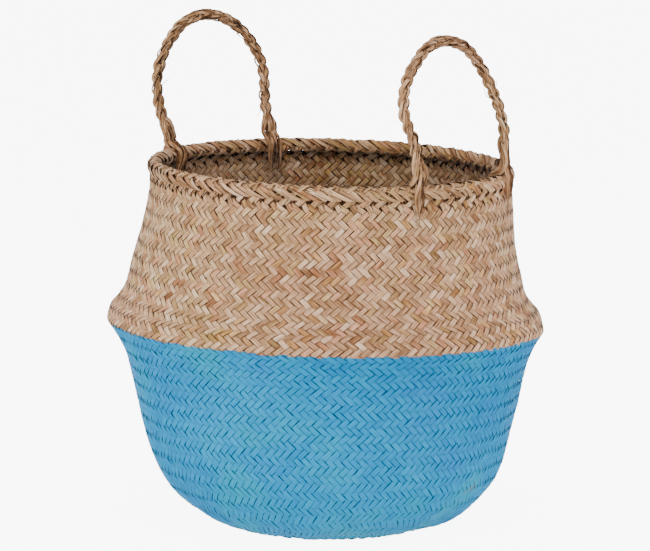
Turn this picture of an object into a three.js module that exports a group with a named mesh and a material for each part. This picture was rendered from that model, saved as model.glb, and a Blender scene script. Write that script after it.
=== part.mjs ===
// Market basket: round, of twilled seagrass, with a folded belly, a plaited rim and two plaited handles.
// Millimetres, +Z up. The origin is the middle of the flat underside.
// The handles stand on the +X and -X sides.
import * as THREE from 'three';

// Driving dimensions of the woven body
const baseRadius = 89; // the flat round that the basket stands on
const bellyRadius = 200; // out to the edge of the belly fold
const bellyHeight = 188; // up to the edge of the belly fold
const rimRadius = 162; // middle line of the plaited rim
const rimHeight = 335; // top of the plaited rim
const wallThickness = 4;
const wallOutsideRim = 4; // how far the wall's outer face stands outside the rim's middle line
const seamGap = 0.3; // clearance where one piece lies against another
const facetsRound = 40; // around each round wall, a multiple of four

// Driving dimensions of the plaited rim
const rimStrandRadius = 2;
const rimPlaitPitch = 51; // along the rim, one strand's whole crossing back to where it was

// Driving dimensions of the handles
const handleHalfSpan = 61; // half the distance between the two roots of a handle
const hingeOutsideRim = 5.5; // how far a hinge line stands outside the rim's middle line
const handleStrandRadius = 1.75;
const handlePlaitPitch = 37;
const hingeClearance = 0.7; // between the rope laid flat and the ends that cross the rim
const tailLength = 36; // how far the outer tail runs down from the top of the rim
const innerTailLength = 27;
const tailTipRadius = 0.7;
const lashingThickness = 1;
const lashingHeight = 4.5;
const lashingSlack = 0.9; // between the lashing and the ends inside it
const lashingShareBelowHinge = 0.25; // of its height
const rightCrownRise = 125; // from the rim's top to the crown of the rope
const leftCrownRise = 124;
const rightSway = -7; // sideways bow of the arch
const degree = Math.PI / 180;
const handles = [
  { side: 'right', bearing: 4 * degree, crownRise: rightCrownRise, lean: -12 * degree, sway: rightSway },
  { side: 'left', bearing: 176 * degree, crownRise: leftCrownRise, lean: 11.2 * degree, sway: 0 },
];

// Sides of a strand, and its steps in one pitch of the plait
const strandSides = 5;
const stepsPerPitch = 9;
const tailSteps = 10;

// A three-strand plait swings sideways once a pitch and in and out twice,
// in shares of the strand's own radius
const plaitSpreadShare = 2.1;
const plaitDepthShare = 1.85;
const strandsInPlait = 3;

// Wall outlines from the middle out: [share of the way out, share of the way up]
const lowerOutlineShares = [
  [0, 0], [0.104, 0.008], [0.217, 0.032], [0.33, 0.072], [0.452, 0.141], [0.574, 0.239],
  [0.657, 0.351], [0.722, 0.489], [0.783, 0.649], [0.839, 0.798], [0.883, 0.872], [0.939, 0.941],
  [1, 1],
];
const upperOutlineShares = [
  [1, 0], [0.897, 0.095], [0.7, 0.155], [0.485, 0.237], [0.353, 0.368], [0.191, 0.571],
  [0.074, 0.805], [0, 1],
];
const lowerOutlineSteps = 12;
const upperOutlineSteps = 8;

// One half of a handle's arch from the root to the crown:
// [share of the half span, share of the rise, outward bow as a share of the rise]
const archShares = [
  [1, 0, 0], [1.01, 0.06, 0.002], [1.05, 0.2, 0.034], [1.08, 0.42, 0.025], [1, 0.6, 0.008],
  [0.82, 0.76, 0], [0.56, 0.9, 0], [0.28, 0.975, 0],
];
const plainEndShare = 0.035; // of the arch at each end, where the three strands open out side by side

// Sizes that follow from the driving ones
const rimSpread = plaitSpreadShare * rimStrandRadius;
const rimDepth = plaitDepthShare * rimStrandRadius;
const rimHalfHeight = rimSpread + rimStrandRadius;
const rimHalfDepth = rimDepth + rimStrandRadius;
const rimMiddleHeight = rimHeight - rimHalfHeight;
const wallTopHeight = rimHeight - 2 * rimHalfHeight - seamGap;
const wallTopRadius = rimRadius + wallOutsideRim;
const handleSpread = plaitSpreadShare * handleStrandRadius;
const handleDepth = plaitDepthShare * handleStrandRadius;
const ropeHalfDepth = handleDepth + handleStrandRadius;
const tailSpacing = 2 * handleStrandRadius + seamGap;
const hingeRise = seamGap + 2 * handleStrandRadius + hingeClearance + ropeHalfDepth;
const hingeHeight = rimHeight + hingeRise;
// From the hinge line to the rope's cut end
const ropeEndReach = hingeRise - hingeClearance - handleStrandRadius;
// What stays this near the hinge line clears the rope
const neckReach = ropeEndReach - hingeClearance;
// The flats lie this far inside the round
const facetSag = wallTopRadius * (1 - Math.cos(Math.PI / facetsRound));
const rootAngle = Math.asin(handleHalfSpan / rimRadius);
const hingeDistance = rimRadius * Math.cos(rootAngle) + hingeOutsideRim;

const naturalSeagrass = new THREE.MeshStandardMaterial({ color: 0xbea086, roughness: 0.75, metalness: 0 });
const paintedSeagrass = new THREE.MeshStandardMaterial({ color: 0x4e9fc2, roughness: 0.6, metalness: 0 });
const ropeSeagrass = new THREE.MeshStandardMaterial({ color: 0xae937b, roughness: 0.75, metalness: 0 });

const basket = new THREE.Group();

function addPiece(name, geometry, material, parent = basket) {
  const piece = new THREE.Mesh(geometry, material);
  piece.name = name;
  parent.add(piece);
}

// Body walls

function outlineCurve(shares, innerRadius, outerRadius, lowHeight, highHeight) {
  return new THREE.SplineCurve(shares.map(([out, up]) => new THREE.Vector2(
    THREE.MathUtils.lerp(innerRadius, outerRadius, out),
    THREE.MathUtils.lerp(lowHeight, highHeight, up),
  )));
}

// A wall of even thickness inside an outline.
// Its edge is level at each end, or upright where it meets the base.
function wallGeometry(outline, steps, meetsBase) {
  const outside = outline.getSpacedPoints(steps);
  const inside = outside.map((point, index) => {
    const tangent = outline.getTangentAt(index / steps);
    const normal = new THREE.Vector2(-tangent.y, tangent.x);
    return point.clone().addScaledVector(normal, wallThickness);
  });
  inside[steps].y = outside[steps].y;
  if (meetsBase) {
    inside[0].x = outside[0].x;
  } else {
    inside[0].y = outside[0].y;
  }
  return revolve([...outside, ...inside.reverse(), outside[0].clone()]);
}

function revolve(points) {
  const geometry = new THREE.LatheGeometry(points, facetsRound);
  geometry.rotateX(Math.PI / 2);
  return geometry;
}

function addBody() {
  const foldGap = seamGap / 2;
  const lowerOutline = outlineCurve(
    lowerOutlineShares, baseRadius + seamGap, bellyRadius, 0, bellyHeight - foldGap);
  const upperOutline = outlineCurve(
    upperOutlineShares, wallTopRadius, bellyRadius, bellyHeight + foldGap, wallTopHeight);
  addPiece('base_panel', revolve([
    new THREE.Vector2(0, 0),
    new THREE.Vector2(baseRadius, 0),
    new THREE.Vector2(baseRadius, wallThickness),
    new THREE.Vector2(0, wallThickness),
  ]), paintedSeagrass);
  addPiece('lower_wall', wallGeometry(lowerOutline, lowerOutlineSteps, true), paintedSeagrass);
  addPiece('upper_wall', wallGeometry(upperOutline, upperOutlineSteps, false), naturalSeagrass);
}

// Strands

// A round strand along a line of points. Its section turns with the side direction given at each point,
// and it is either a closed ring or ends in two flat caps.
function strandGeometry(points, sides, radii, closed) {
  const count = points.length;
  const positions = [];
  const faces = [];
  const corner = new THREE.Vector3();
  points.forEach((point, index) => {
    const before = points[closed ? (index + count - 1) % count : Math.max(index - 1, 0)];
    const after = points[closed ? (index + 1) % count : Math.min(index + 1, count - 1)];
    const tangent = after.clone().sub(before).normalize();
    const across = sides[index].clone().addScaledVector(tangent, -sides[index].dot(tangent)).normalize();
    const up = tangent.clone().cross(across);
    for (let side = 0; side < strandSides; side += 1) {
      const angle = 2 * Math.PI * side / strandSides;
      corner.copy(point)
        .addScaledVector(across, radii[index] * Math.cos(angle))
        .addScaledVector(up, radii[index] * Math.sin(angle));
      positions.push(corner.x, corner.y, corner.z);
    }
  });
  const rings = closed ? count : count - 1;
  for (let ring = 0; ring < rings; ring += 1) {
    const start = ring * strandSides;
    const next = ((ring + 1) % count) * strandSides;
    for (let side = 0; side < strandSides; side += 1) {
      const turn = (side + 1) % strandSides;
      faces.push(start + side, start + turn, next + turn, start + side, next + turn, next + side);
    }
  }
  if (!closed) {
    const last = (count - 1) * strandSides;
    for (let side = 1; side < strandSides - 1; side += 1) {
      faces.push(0, side + 1, side, last, last + side, last + side + 1);
    }
  }
  const geometry = new THREE.BufferGeometry();
  geometry.setAttribute('position', new THREE.Float32BufferAttribute(positions, 3));
  geometry.setIndex(faces);
  return geometry;
}

// Where strand number `strand` of a plait lies at a turn of the pattern, as [sideways, in and out]
function plaitOffset(strand, turn, spread, depth) {
  const phase = turn + 2 * Math.PI * strand / strandsInPlait;
  return [spread * Math.sin(phase), depth * Math.sin(2 * phase)];
}

// Plaited rim: three closed rings that pass over and under each other all round the mouth

function addRim() {
  const pitches = Math.round(2 * Math.PI * rimRadius / rimPlaitPitch);
  const steps = pitches * stepsPerPitch;
  for (let strand = 0; strand < strandsInPlait; strand += 1) {
    const points = [];
    const sides = [];
    for (let step = 0; step < steps; step += 1) {
      const around = 2 * Math.PI * step / steps;
      const outward = new THREE.Vector3(Math.cos(around), Math.sin(around), 0);
      const [sideways, inOut] = plaitOffset(strand, around * pitches, rimSpread, rimDepth);
      const point = outward.clone().multiplyScalar(rimRadius + inOut);
      point.z = rimMiddleHeight + sideways;
      points.push(point);
      sides.push(outward);
    }
    const radii = points.map(() => rimStrandRadius);
    const geometry = strandGeometry(points, sides, radii, true);
    addPiece(`rim_plait_strand_${strand + 1}`, geometry, naturalSeagrass);
  }
}

// Handles: each is a rope of three strands plaited along an arch.
// In a handle's own frame the hinge line is Y, X points out of the basket and Z up the arch.

function archCurve(handle) {
  const rise = handle.crownRise - hingeRise;
  const half = archShares.map(([out, up, bow]) => new THREE.Vector3(
    bow * rise,
    out * handleHalfSpan,
    THREE.MathUtils.lerp(ropeEndReach, rise, up),
  ));
  const otherHalf = half.map((point) => new THREE.Vector3(point.x, -point.y, point.z)).reverse();
  const crown = new THREE.Vector3(0, 0, rise);
  const points = [...half, crown, ...otherHalf];
  for (const point of points) {
    const up = (point.z - ropeEndReach) / (rise - ropeEndReach);
    point.y += handle.sway * Math.sin(Math.PI * up) ** 2;
  }
  return new THREE.CatmullRomCurve3(points);
}

function handleStrandGeometry(handle, strand) {
  const arch = archCurve(handle);
  const pitches = Math.round(arch.getLength() / handlePlaitPitch);
  const steps = pitches * stepsPerPitch;
  const points = [];
  const sides = [];
  for (let step = 0; step <= steps; step += 1) {
    const along = step / steps;
    const tangent = arch.getTangentAt(along);
    const plaited = THREE.MathUtils.smoothstep(Math.min(along, 1 - along), 0, plainEndShare);
    const sideDirection = new THREE.Vector3(0, -tangent.z, plaited * tangent.y).normalize();
    const inOutDirection = new THREE.Vector3().crossVectors(tangent, sideDirection).normalize();
    const plaitShare = THREE.MathUtils.clamp((along - plainEndShare) / (1 - 2 * plainEndShare), 0, 1);
    const turn = 2 * Math.PI * pitches * plaitShare;
    const [sideways, inOut] = plaitOffset(strand, turn, handleSpread, handleDepth);
    const [slot] = plaitOffset(strand, 0, tailSpacing / Math.sin(2 * Math.PI / strandsInPlait), 0);
    const point = arch.getPointAt(along);
    point.addScaledVector(sideDirection, THREE.MathUtils.lerp(slot, sideways, plaited));
    point.addScaledVector(inOutDirection, plaited * inOut);
    points.push(point);
    sides.push(new THREE.Vector3(1, 0, 0));
  }
  return strandGeometry(points, sides, points.map(() => handleStrandRadius), false);
}

function addHandleRope(handle) {
  const place = new THREE.Group();
  place.position.set(
    hingeDistance * Math.cos(handle.bearing), hingeDistance * Math.sin(handle.bearing), hingeHeight);
  place.rotation.z = handle.bearing;
  const leaning = new THREE.Group();
  leaning.rotation.y = handle.lean;
  place.add(leaning);
  basket.add(place);
  for (let strand = 0; strand < strandsInPlait; strand += 1) {
    const geometry = handleStrandGeometry(handle, strand);
    addPiece(`${handle.side}_handle_strand_${strand + 1}`, geometry, ropeSeagrass, leaning);
  }
}

// Tails: under the hinge line each strand of a root crosses the rim and tapers down the wall,
// the middle one outside and the two beside it inside.
// In a root's own frame X points out of the basket and Z is the height.

function wallOutsideRadius(height) {
  const outline = outlineCurve(upperOutlineShares, wallTopRadius, bellyRadius, bellyHeight, wallTopHeight);
  const points = outline.getSpacedPoints(upperOutlineSteps);
  const above = points.findIndex((point) => point.y >= height);
  const share = (height - points[above - 1].y) / (points[above].y - points[above - 1].y);
  return THREE.MathUtils.lerp(points[above - 1].x, points[above].x, share);
}

function tailPath(outside, end, offset, length) {
  const facing = outside ? 1 : -1;
  const besideRim = rimHalfDepth + seamGap + handleStrandRadius;
  const overRim = rimHeight + seamGap + handleStrandRadius;
  const tipHeight = rimHeight - length;
  const wallFace = wallOutsideRadius(tipHeight) - rimRadius;
  const tipOut = outside
    ? wallFace + seamGap + tailTipRadius
    : wallThickness - wallFace + facetSag + seamGap + tailTipRadius;
  const neckSpread = Math.abs(offset) * Math.sin(rootAngle) + handleStrandRadius;
  const neckTop = Math.sqrt(neckReach ** 2 - neckSpread ** 2);
  const neckOut = hingeOutsideRim * Math.cos(rootAngle);
  const neckAside = offset - end * hingeOutsideRim * Math.sin(rootAngle);
  return new THREE.CatmullRomCurve3([
    new THREE.Vector3(neckOut, neckAside, hingeHeight + neckTop),
    new THREE.Vector3(neckOut, neckAside, (hingeHeight + overRim) / 2),
    new THREE.Vector3((neckOut + facing * besideRim) / 2, (neckAside + offset) / 2, overRim),
    new THREE.Vector3(facing * besideRim, offset, overRim - 2 * handleStrandRadius),
    new THREE.Vector3(facing * besideRim, offset, rimMiddleHeight - rimSpread),
    new THREE.Vector3(facing * tipOut, offset, tipHeight),
  ]);
}

function tailGeometry(outside, end, offset) {
  const length = outside ? tailLength : innerTailLength;
  const path = tailPath(outside, end, offset, length);
  const points = path.getSpacedPoints(tailSteps);
  const sides = points.map(() => new THREE.Vector3(0, 1, 0));
  const radii = points.map((point) => {
    const down = THREE.MathUtils.clamp((rimHeight - point.z) / length, 0, 1);
    return THREE.MathUtils.lerp(handleStrandRadius, tailTipRadius, down ** 2);
  });
  return strandGeometry(points, sides, radii, false);
}

// One flat strip wound round the three ends where they leave the rim
function lashingGeometry(end) {
  const halfDepth = handleStrandRadius + lashingSlack;
  const halfWidth = tailSpacing + halfDepth;
  const outer = roundedBand(halfWidth + lashingThickness, halfDepth + lashingThickness);
  outer.holes.push(roundedBand(halfWidth, halfDepth));
  const geometry = new THREE.ExtrudeGeometry(outer, {
    depth: lashingHeight, bevelEnabled: false, curveSegments: strandSides,
  });
  geometry.translate(
    hingeOutsideRim * Math.cos(rootAngle),
    -end * hingeOutsideRim * Math.sin(rootAngle),
    hingeHeight - lashingHeight * lashingShareBelowHinge,
  );
  return geometry;
}

function roundedBand(halfWidth, halfDepth) {
  const straight = halfWidth - halfDepth;
  const band = new THREE.Shape();
  band.absarc(0, straight, halfDepth, 0, Math.PI);
  band.absarc(0, -straight, halfDepth, Math.PI, 2 * Math.PI);
  return band;
}

function addRoots(handle) {
  for (const end of [-1, 1]) {
    const root = new THREE.Group();
    root.rotation.z = handle.bearing + end * rootAngle;
    root.position.set(
      rimRadius * Math.cos(root.rotation.z), rimRadius * Math.sin(root.rotation.z), 0);
    basket.add(root);
    const place = (end === 1) === (handle.side === 'right') ? 'rear' : 'front';
    const name = `${handle.side}_handle_${place}`;
    addPiece(`${name}_outer_tail`, tailGeometry(true, end, 0), ropeSeagrass, root);
    addPiece(`${name}_inner_tail_1`, tailGeometry(false, end, -tailSpacing), ropeSeagrass, root);
    addPiece(`${name}_inner_tail_2`, tailGeometry(false, end, tailSpacing), ropeSeagrass, root);
    if (name === 'right_handle_rear') {
      addPiece(`${name}_lashing`, lashingGeometry(end), naturalSeagrass, root);
    }
  }
}

addBody();
addRim();
for (const handle of handles) {
  addHandleRope(handle);
  addRoots(handle);
}

export default basket;
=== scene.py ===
import math

import bpy
import numpy as np
from bpy.props import FloatProperty, FloatVectorProperty, IntProperty, PointerProperty
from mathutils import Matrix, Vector


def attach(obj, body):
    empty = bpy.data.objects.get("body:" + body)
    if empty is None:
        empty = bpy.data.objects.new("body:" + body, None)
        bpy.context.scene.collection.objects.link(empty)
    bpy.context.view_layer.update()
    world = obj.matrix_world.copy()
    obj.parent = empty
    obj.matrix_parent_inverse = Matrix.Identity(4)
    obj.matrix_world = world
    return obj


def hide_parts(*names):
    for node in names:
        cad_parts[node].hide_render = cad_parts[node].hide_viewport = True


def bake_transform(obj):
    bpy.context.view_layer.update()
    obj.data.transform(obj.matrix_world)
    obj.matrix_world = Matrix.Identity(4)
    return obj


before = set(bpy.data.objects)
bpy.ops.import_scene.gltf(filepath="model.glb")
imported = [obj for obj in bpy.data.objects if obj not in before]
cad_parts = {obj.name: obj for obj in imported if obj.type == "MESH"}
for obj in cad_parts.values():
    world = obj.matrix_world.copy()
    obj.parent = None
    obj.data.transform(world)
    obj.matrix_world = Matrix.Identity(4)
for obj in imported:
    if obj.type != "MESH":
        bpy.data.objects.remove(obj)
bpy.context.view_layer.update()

bl_info = {
    "name": "Market basket",
    "version": (1, 0, 0),
    "blender": (4, 5, 0),
    "location": "View3D > Sidebar > Basket",
    "description": "Weaves a round two-handled seagrass basket over its packed frame",
    "category": "Object",
}

MM = 0.001
TURN = 2 * math.pi

# Outlines of the body from the middle out, as shares of the way out and of the way up
LOWER_OUTLINE_SHARES = (
    (0, 0), (0.104, 0.008), (0.217, 0.032), (0.33, 0.072), (0.452, 0.141), (0.574, 0.239), (0.657, 0.351),
    (0.722, 0.489), (0.783, 0.649), (0.839, 0.798), (0.883, 0.872), (0.939, 0.941), (1, 1),
)
UPPER_OUTLINE_SHARES = (
    (1, 0), (0.897, 0.095), (0.7, 0.155), (0.485, 0.237), (0.353, 0.368), (0.191, 0.571), (0.074, 0.805),
    (0, 1),
)
# Half of a handle's arch, root to crown: shares of the half span and of the rise, and the outward bow
ARCH_SHARES = (
    (1, 0, 0), (1.01, 0.06, 0.002), (1.05, 0.2, 0.034), (1.08, 0.42, 0.025), (1, 0.6, 0.008),
    (0.82, 0.76, 0), (0.56, 0.9, 0), (0.28, 0.975, 0),
)
# Section of a leaf strip, as shares of its half width and half thickness
SECTION_SHARES = np.array(((-1, 0), (-0.7, 1), (0.7, 1), (1, 0), (0.7, -1), (-0.7, -1)), float)
# The same corners and the first again: shares of the way round, and across the grain in strip widths
ROUND_SHARES = np.array((0, 0.08, 0.42, 0.5, 0.58, 0.92, 1))
GRAIN_SHARES = np.array((-0.5, -0.37, 0.37, 0.5, 0.63, 1.37, 1.5))
LEAF_HALF_THICKNESS = 0.3 * MM
# Between points along a rope
ROPE_STEP = 0.5 * MM
# Where fibres have sprung out of each strand, as shares of its length
LOOSE_END_SHARES = (0.24, 0.8, 0.87)
# A woven strip runs flat for most of each float and dives fast: its wave is scaled by this and cut off
FLOAT_FLATNESS = 1.7
# Crossings in which the close weave opens out below the rim
OPENING_ROWS = 2.2
# Soft dents of the wall: size, number round the body, start, turn per metre of height
DENT_WAVES = ((1, 5, 1.3, 22), (0.7, 9, 4, -35), (0.5, 14, 2, 60))
# Waves of the lower hem: size, number round the body, start
HEM_WAVES = ((0.4, 3, 2.2), (0.5, 9, 1), (0.35, 14, 0))
# Lamps: name, metres towards the camera, to the right and up from the aim, watts, width in metres
LAMPS = (
    ("key", 1.2, -1.9, -0.5, 41, 1.2),
    ("fill", 1.1, 1.9, -0.9, 36, 1.2),
    ("top", 1.1, 0, 1.7, 28, 1.4),
    ("rear", -1.9, 0, -0.3, 24, 1.6),
)


def srgb(red, green, blue):
    """A colour given in screen values, as the light that it stands for"""
    return tuple(
        ((v / 255 + 0.055) / 1.055) ** 2.4 if v > 10 else v / 255 / 12.92 for v in (red, green, blue))


class BodySettings(bpy.types.PropertyGroup):
    """Sizes of the woven body"""

    base_radius: FloatProperty(
        name="Base radius", description="Flat round that it stands on", default=89 * MM, unit="LENGTH")
    belly_radius: FloatProperty(
        name="Belly radius", description="Out to the belly fold", default=200 * MM, unit="LENGTH")
    belly_height: FloatProperty(
        name="Belly height", description="Up to the belly fold", default=188 * MM, unit="LENGTH")
    rim_radius: FloatProperty(
        name="Rim radius", description="Middle line of the rim", default=162 * MM, unit="LENGTH")
    rim_height: FloatProperty(
        name="Rim height", description="Top of the rim", default=335 * MM, unit="LENGTH")
    wall_outside_rim: FloatProperty(
        name="Wall outside rim", description="Wall face outside the rim's middle line", default=4 * MM,
        unit="LENGTH")
    neck_drop: FloatProperty(
        name="Neck drop", description="Top of the wall below the rim's top", default=12.7 * MM, unit="LENGTH")
    half_wall: FloatProperty(
        name="Half wall", description="Weave's middle line inside the wall's face", default=1.3 * MM,
        unit="LENGTH")
    strips: IntProperty(
        name="Strips each way", description="Leaf strips leaning each way round the body", default=144)
    painted_spacing: FloatProperty(
        name="Painted spacing", description="Across one painted strip", default=5.4 * MM, unit="LENGTH")
    natural_spacing: FloatProperty(
        name="Natural spacing", description="Across one natural strip", default=5.15 * MM, unit="LENGTH")
    strip_thickness: FloatProperty(
        name="Strip thickness", description="Of one leaf strip", default=0.55 * MM, unit="LENGTH")
    strip_fill: FloatProperty(
        name="Strip fill", description="Strip width as a share of its spacing", default=0.985)
    weave_depth: FloatProperty(
        name="Weave depth", description="How far a strip rises and dives", default=0.55 * MM, unit="LENGTH")
    weave_top: FloatProperty(
        name="Weave top", description="Height where the close weave opens", default=312 * MM, unit="LENGTH")
    paint_drop: FloatProperty(
        name="Paint drop", description="Paint line below the belly fold", default=1 * MM, unit="LENGTH")
    belly_shift: FloatProperty(
        name="Belly shift", description="Belly to the left of the rim", default=4.5 * MM, unit="LENGTH")
    belly_widening: FloatProperty(
        name="Belly widening", description="Sideways, as a share of its width", default=0.008)
    belly_tilt: FloatProperty(name="Belly tilt", description="Drop to the right, as a slope", default=0.026)
    dent_depth: FloatProperty(
        name="Dent depth", description="Of the wall's soft dents", default=0.9 * MM, unit="LENGTH")
    hem_lift: FloatProperty(
        name="Hem lift", description="Rise of the wavy lower edge", default=2.3 * MM, unit="LENGTH")
    seed: IntProperty(name="Seed", description="Start of the random variation", default=7)


class RimSettings(bpy.types.PropertyGroup):
    """Sizes of the braided rim"""

    bundles: IntProperty(
        name="Bundles", description="Bundles of leaves leaning each way round the rim", default=72)
    half_depth: FloatProperty(
        name="Half depth", description="Of the braid's section", default=5.3 * MM, unit="LENGTH")
    half_height: FloatProperty(
        name="Half height", description="Of the braid's section", default=6.4 * MM, unit="LENGTH")
    middle_drop: FloatProperty(
        name="Middle drop", description="From the rim's top to its middle", default=6.2 * MM, unit="LENGTH")
    long_slope: FloatProperty(
        name="Long slope", description="Lean of the long floats from upright", default=math.radians(60),
        subtype="ANGLE")
    short_slope: FloatProperty(
        name="Short slope", description="Lean of the short floats from upright", default=math.radians(44),
        subtype="ANGLE")
    braid_depth: FloatProperty(
        name="Braid depth", description="How far a leaf rises and dives", default=0.8 * MM, unit="LENGTH")
    core_share: FloatProperty(
        name="Core share", description="Core's radius as a share of the half depth", default=0.78)


class HandleSettings(bpy.types.PropertyGroup):
    """Sizes of the two rope handles"""

    half_span: FloatProperty(
        name="Half span", description="Half the distance between roots", default=61 * MM, unit="LENGTH")
    strand_radius: FloatProperty(
        name="Strand radius", description="Of one strand of leaves", default=2.95 * MM, unit="LENGTH")
    spread: FloatProperty(
        name="Spread", description="Sideways swing of a strand", default=2.35 * MM, unit="LENGTH")
    depth: FloatProperty(
        name="Depth", description="In and out swing of a strand", default=1.6 * MM, unit="LENGTH")
    pitch: FloatProperty(
        name="Pitch", description="Length of one strand's whole crossing", default=37 * MM, unit="LENGTH")
    hinge_rise: FloatProperty(
        name="Hinge rise", description="Bending line above the rim's top", default=9.4875 * MM, unit="LENGTH")
    hinge_outside: FloatProperty(
        name="Hinge outside", description="Bending line outside the rim's middle line", default=5.5 * MM,
        unit="LENGTH")
    foot_rise: FloatProperty(
        name="Foot rise", description="Arch's foot above the bending line", default=7.0375 * MM,
        unit="LENGTH")
    slot_spacing: FloatProperty(
        name="Slot spacing", description="Between strands at a root", default=3.8 * MM, unit="LENGTH")
    tail_beside: FloatProperty(
        name="Tail beside", description="A tail's middle beside the rim's middle line", default=7.6 * MM,
        unit="LENGTH")
    outer_tail: FloatProperty(
        name="Outer tail", description="Down from the rim's top", default=36 * MM, unit="LENGTH")
    inner_tail: FloatProperty(
        name="Inner tail", description="Down from the rim's top", default=27 * MM, unit="LENGTH")
    leaves: IntProperty(name="Leaves", description="Leaves in one strand", default=6)
    right_rise: FloatProperty(
        name="Right rise", description="Crown above the rim", default=125 * MM, unit="LENGTH")
    left_rise: FloatProperty(
        name="Left rise", description="Crown above the rim", default=124 * MM, unit="LENGTH")
    right_lean: FloatProperty(
        name="Right lean", description="Outward tilt", default=math.radians(-12), subtype="ANGLE")
    left_lean: FloatProperty(
        name="Left lean", description="Outward tilt", default=math.radians(11.2), subtype="ANGLE")
    right_sway: FloatProperty(name="Right sway", description="Sideways bow", default=-7 * MM, unit="LENGTH")
    left_sway: FloatProperty(name="Left sway", description="Sideways bow", default=0, unit="LENGTH")
    bearing: FloatProperty(
        name="Bearing", description="Turn of both handles towards the rear", default=math.radians(4),
        subtype="ANGLE")


class FinishSettings(bpy.types.PropertyGroup):
    """Colours of the dried leaf and of the blue paint, and of the painted shade in the gaps between strips"""

    leaf_shade: FloatVectorProperty(
        name="Leaf shade", description="Darkest streaks", default=srgb(104, 68, 40), subtype="COLOR")
    leaf_low: FloatVectorProperty(
        name="Leaf low", description="Darker leaves", default=srgb(172, 130, 94), subtype="COLOR")
    leaf_middle: FloatVectorProperty(
        name="Leaf middle", description="Most leaves", default=srgb(212, 172, 136), subtype="COLOR")
    leaf_light: FloatVectorProperty(
        name="Leaf light", description="Palest leaves", default=srgb(242, 216, 190), subtype="COLOR")
    tint_pink: FloatVectorProperty(
        name="Pink tint", description="Over some leaves", default=srgb(252, 214, 206), subtype="COLOR")
    tint_olive: FloatVectorProperty(
        name="Olive tint", description="Over some leaves", default=srgb(232, 236, 184), subtype="COLOR")
    tint_gold: FloatVectorProperty(
        name="Gold tint", description="Over some leaves", default=srgb(252, 230, 166), subtype="COLOR")
    tint_rust: FloatVectorProperty(
        name="Rust tint", description="Over a few leaves", default=srgb(216, 168, 136), subtype="COLOR")
    paint_low: FloatVectorProperty(
        name="Paint low", description="Darker paint", default=srgb(0, 114, 170), subtype="COLOR")
    paint_middle: FloatVectorProperty(
        name="Paint middle", description="Most of the paint", default=srgb(0, 140, 197), subtype="COLOR")
    paint_light: FloatVectorProperty(
        name="Paint light", description="Lighter paint", default=srgb(26, 166, 216), subtype="COLOR")
    paint_teal: FloatVectorProperty(
        name="Paint teal", description="Greener patches", default=srgb(0, 162, 188), subtype="COLOR")
    paint_violet: FloatVectorProperty(
        name="Paint violet", description="Redder patches", default=srgb(44, 128, 200), subtype="COLOR")
    # Painted shade: dark colours laid along the strips' edges, where shade falls in the gaps between them
    leaf_gap_shade: FloatVectorProperty(
        name="Leaf gap", description="Dark between leaves", default=srgb(44, 24, 12), subtype="COLOR")
    paint_gap_shade: FloatVectorProperty(
        name="Paint gap", description="Dark between painted leaves", default=srgb(0, 24, 44), subtype="COLOR")
    strip_contrast: FloatProperty(
        name="Strip contrast", description="From one strip to the next", default=0.27)
    float_contrast: FloatProperty(
        name="Float contrast", description="From one float of a strip to the next", default=0.24)
    streak_contrast: FloatProperty(name="Streak contrast", description="Along the grain", default=0.9)
    blotch_contrast: FloatProperty(name="Blotch contrast", description="Of the stains", default=0.35)


class StageSettings(bpy.types.PropertyGroup):
    """Camera and light"""

    azimuth: FloatProperty(
        name="Azimuth", description="Camera round the basket", default=math.radians(44.15), subtype="ANGLE")
    elevation: FloatProperty(
        name="Elevation", description="Camera above level", default=math.radians(8.8), subtype="ANGLE")
    distance: FloatProperty(name="Distance", description="Camera from the basket", default=6, unit="LENGTH")
    view_width: FloatProperty(
        name="View width", description="Across the picture", default=0.598, unit="LENGTH")
    aim_height: FloatProperty(
        name="Aim height", description="Middle of the picture", default=0.2304, unit="LENGTH")
    aim_shift: FloatProperty(
        name="Aim shift", description="Picture's middle left of the axis", default=5.5 * MM, unit="LENGTH")
    floor_size: FloatProperty(
        name="Floor size", description="Across the table top", default=30, unit="LENGTH")
    floor_glow: FloatProperty(
        name="Floor glow", description="Brightness of the table top and of what is seen behind it", default=8)
    room_light: FloatProperty(name="Room light", description="Even light from all sides", default=0.76)
    floor_colour: FloatVectorProperty(
        name="Floor colour", description="Plain pale floor", default=(0.86, 0.86, 0.86), subtype="COLOR")


def settings(name):
    """One group of the basket's settings"""
    return getattr(bpy.context.scene, name)


# Curves and outlines


def unit(vectors):
    """The same directions, each of length one"""
    return vectors / np.linalg.norm(vectors, axis=-1, keepdims=True)


def smooth_curve(points, per_span=12):
    """Points of a smooth curve through the given ones"""
    points = np.asarray(points, float)
    padded = np.vstack([2 * points[0] - points[1], points, 2 * points[-1] - points[-2]])
    share = np.linspace(0, 1, per_span, endpoint=False)[:, None]
    spans = []
    for before, start, end, after in zip(padded, padded[1:], padded[2:], padded[3:]):
        spans.append(0.5 * (
            2 * start + (end - before) * share
            + (2 * before - 5 * start + 4 * end - after) * share ** 2
            + (3 * start - before - 3 * end + after) * share ** 3))
    return np.vstack(spans + [points[-1:]])


def even_curve(points, step):
    """The same line with its points spaced evenly along it"""
    along = np.concatenate([[0], np.cumsum(np.linalg.norm(np.diff(points, axis=0), axis=1))])
    count = max(int(round(along[-1] / step)), 2)
    at = np.linspace(0, along[-1], count + 1)
    return np.stack([np.interp(at, along, column) for column in points.T], axis=1)


def smooth_step(value, low, high):
    """Share of the way from low to high, eased at both ends"""
    share = np.clip((value - low) / (high - low), 0, 1)
    return share * share * (3 - 2 * share)


def rounded(points, reach):
    """The line with its corners eased by a running mean, ends kept"""
    kernel = np.hanning(2 * reach + 3)[1:-1]
    kernel /= kernel.sum()
    before = 2 * points[0] - points[reach:0:-1]
    after = 2 * points[-1] - points[-2:-reach - 2:-1]
    padded = np.vstack([before, points, after])
    return np.stack([np.convolve(column, kernel, "valid") for column in padded.T], axis=1)


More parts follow.
